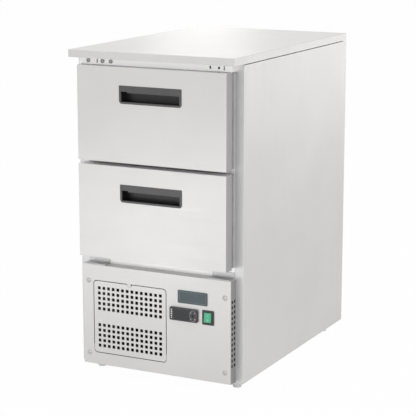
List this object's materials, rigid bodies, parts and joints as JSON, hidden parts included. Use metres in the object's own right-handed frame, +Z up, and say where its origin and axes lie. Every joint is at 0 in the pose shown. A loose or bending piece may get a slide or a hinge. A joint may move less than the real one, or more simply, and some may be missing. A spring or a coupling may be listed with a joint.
{
  "type": "drawer counter fridge",
  "caption": "Slim stainless counter fridge with drawers that carry catering containers, under a worktop and over a vented machine compartment with a temperature controller and rocker switch.",
  "frame": {"origin": "centre of the footprint on the floor", "axes": "+Z up, -Y towards the person facing the drawers, +X to that person's right"},
  "size_m": [0.46, 0.7, 0.835],
  "materials": {
    "stainless": "satin",
    "galvanised": "matte",
    "steel_hardware": "polished",
    "foam": "matte",
    "wood_board": "matte",
    "black_plastic": "satin",
    "grey_plastic": "satin",
    "key_plastic": "satin",
    "dark_lens": "gloss",
    "green_lens": "gloss",
    "plate": "satin",
    "seal_rubber": "matte",
    "mount_rubber": "matte",
    "copper": "satin",
    "fin_aluminium": "satin",
    "black_enamel": "satin",
    "white_plastic": "matte"
  },
  "bodies": {
    "cabinet": {"base_tray": "galvanised", "cable_gland": "black_plastic", "centre_mullion": "stainless", "compressor": "black_enamel", "compressor_mounts": "mount_rubber", "condenser": "fin_aluminium", "controller_housing": "black_plastic", "controller_lens": "dark_lens", "dome_screws": "steel_hardware", "drain_and_pan": "white_plastic", "evaporator": "fin_aluminium", "evaporator_cover": "stainless", "fan_motors": "black_enamel", "fan_shroud": "galvanised", "foam_cover_sheets": "galvanised", "front_frame": "stainless", "grille_hinge_pins": "steel_hardware", "hinge_brackets": "steel_hardware", "inner_liner": "stainless", "insulation": "foam", "left_side_panel": "stainless", "lower_panel": "stainless", "name_plate": "plate", "rail_plugs": "grey_plastic", "rear_panel": "galvanised", "refrigerant_pipes": "copper", "right_side_panel": "stainless", "slide_outer_members": "steel_hardware", "switch_bezel": "black_plastic", "top_rail": "stainless", "worktop": "stainless", "worktop_board": "wood_board"},
    "drawer_lower": {"drawer_skin_lower": "stainless", "drawer_foam_lower": "foam", "drawer_back_lower": "stainless", "drawer_handle_lower": "black_plastic", "drawer_gasket_lower": "seal_rubber", "drawer_frame_lower": "stainless", "slide_inner_lower": "steel_hardware"},
    "middle_rails_lower": {"slide_middle_lower": "steel_hardware"},
    "drawer_upper": {"drawer_skin_upper": "stainless", "drawer_foam_upper": "foam", "drawer_back_upper": "stainless", "drawer_handle_upper": "black_plastic", "drawer_gasket_upper": "seal_rubber", "drawer_frame_upper": "stainless", "slide_inner_upper": "steel_hardware"},
    "middle_rails_upper": {"slide_middle_upper": "steel_hardware"},
    "grille_cover": {"grille_cover": "stainless"},
    "switch_rocker": {"switch_rocker": "green_lens"},
    "key_up": {"key_up": "key_plastic"},
    "key_set": {"key_set": "key_plastic"},
    "key_down": {"key_down": "key_plastic"},
    "key_standby": {"key_standby": "key_plastic"},
    "condenser_fan": {"condenser_fan": "black_plastic"},
    "evaporator_fan": {"evaporator_fan": "black_plastic"},
    "foot_front_left": {"foot_front_left": "grey_plastic"},
    "foot_front_right": {"foot_front_right": "grey_plastic"},
    "foot_back_left": {"foot_back_left": "grey_plastic"},
    "foot_back_right": {"foot_back_right": "grey_plastic"}
  },
  "joints": [
    {"name": "drawer_lower_slide", "type": "slide", "parent": "cabinet", "child": "drawer_lower", "axis": [0, -1, 0], "range_m": [0, 0.5]},
    {"name": "middle_rails_lower_slide", "type": "slide", "parent": "cabinet", "child": "middle_rails_lower", "axis": [0, -1, 0], "range_m": [0, 0.25]},
    {"name": "drawer_upper_slide", "type": "slide", "parent": "cabinet", "child": "drawer_upper", "axis": [0, -1, 0], "range_m": [0, 0.5]},
    {"name": "middle_rails_upper_slide", "type": "slide", "parent": "cabinet", "child": "middle_rails_upper", "axis": [0, -1, 0], "range_m": [0, 0.25]},
    {"name": "grille_cover_hinge", "type": "hinge", "parent": "cabinet", "child": "grille_cover", "pos_m": [-0.0742, -0.324, 0.0735], "axis": [1, 0, 0], "range_deg": [0, 90]},
    {"name": "switch_rocker_hinge", "type": "hinge", "parent": "cabinet", "child": "switch_rocker", "pos_m": [0.1481, -0.327, 0.1898], "axis": [1, 0, 0], "range_deg": [0, 16]},
    {"name": "key_up_press", "type": "slide", "parent": "cabinet", "child": "key_up", "axis": [0, 1, 0], "range_m": [0, 0.0008], "stiffness_N_per_m": 600},
    {"name": "key_set_press", "type": "slide", "parent": "cabinet", "child": "key_set", "axis": [0, 1, 0], "range_m": [0, 0.0008], "stiffness_N_per_m": 600},
    {"name": "key_down_press", "type": "slide", "parent": "cabinet", "child": "key_down", "axis": [0, 1, 0], "range_m": [0, 0.0008], "stiffness_N_per_m": 600},
    {"name": "key_standby_press", "type": "slide", "parent": "cabinet", "child": "key_standby", "axis": [0, 1, 0], "range_m": [0, 0.0008], "stiffness_N_per_m": 600},
    {"name": "condenser_fan_spin", "type": "hinge", "parent": "cabinet", "child": "condenser_fan", "pos_m": [-0.0742, -0.22, 0.1365], "axis": [0, 1, 0], "continuous": true},
    {"name": "evaporator_fan_spin", "type": "hinge", "parent": "cabinet", "child": "evaporator_fan", "pos_m": [0, 0.255, 0.66], "axis": [0, 1, 0], "continuous": true},
    {"name": "foot_front_left_turn", "type": "hinge", "parent": "cabinet", "child": "foot_front_left", "pos_m": [-0.196, -0.262, 0.02], "axis": [0, 0, 1], "continuous": true},
    {"name": "foot_front_right_turn", "type": "hinge", "parent": "cabinet", "child": "foot_front_right", "pos_m": [0.196, -0.262, 0.02], "axis": [0, 0, 1], "continuous": true},
    {"name": "foot_back_left_turn", "type": "hinge", "parent": "cabinet", "child": "foot_back_left", "pos_m": [-0.196, 0.29, 0.02], "axis": [0, 0, 1], "continuous": true},
    {"name": "foot_back_right_turn", "type": "hinge", "parent": "cabinet", "child": "foot_back_right", "pos_m": [0.196, 0.29, 0.02], "axis": [0, 0, 1], "continuous": true}
  ],
  "couplings": [
    {"joint": "middle_rails_lower_slide", "follows": "drawer_lower_slide", "ratio": 0.5},
    {"joint": "middle_rails_upper_slide", "follows": "drawer_upper_slide", "ratio": 0.5}
  ]
}
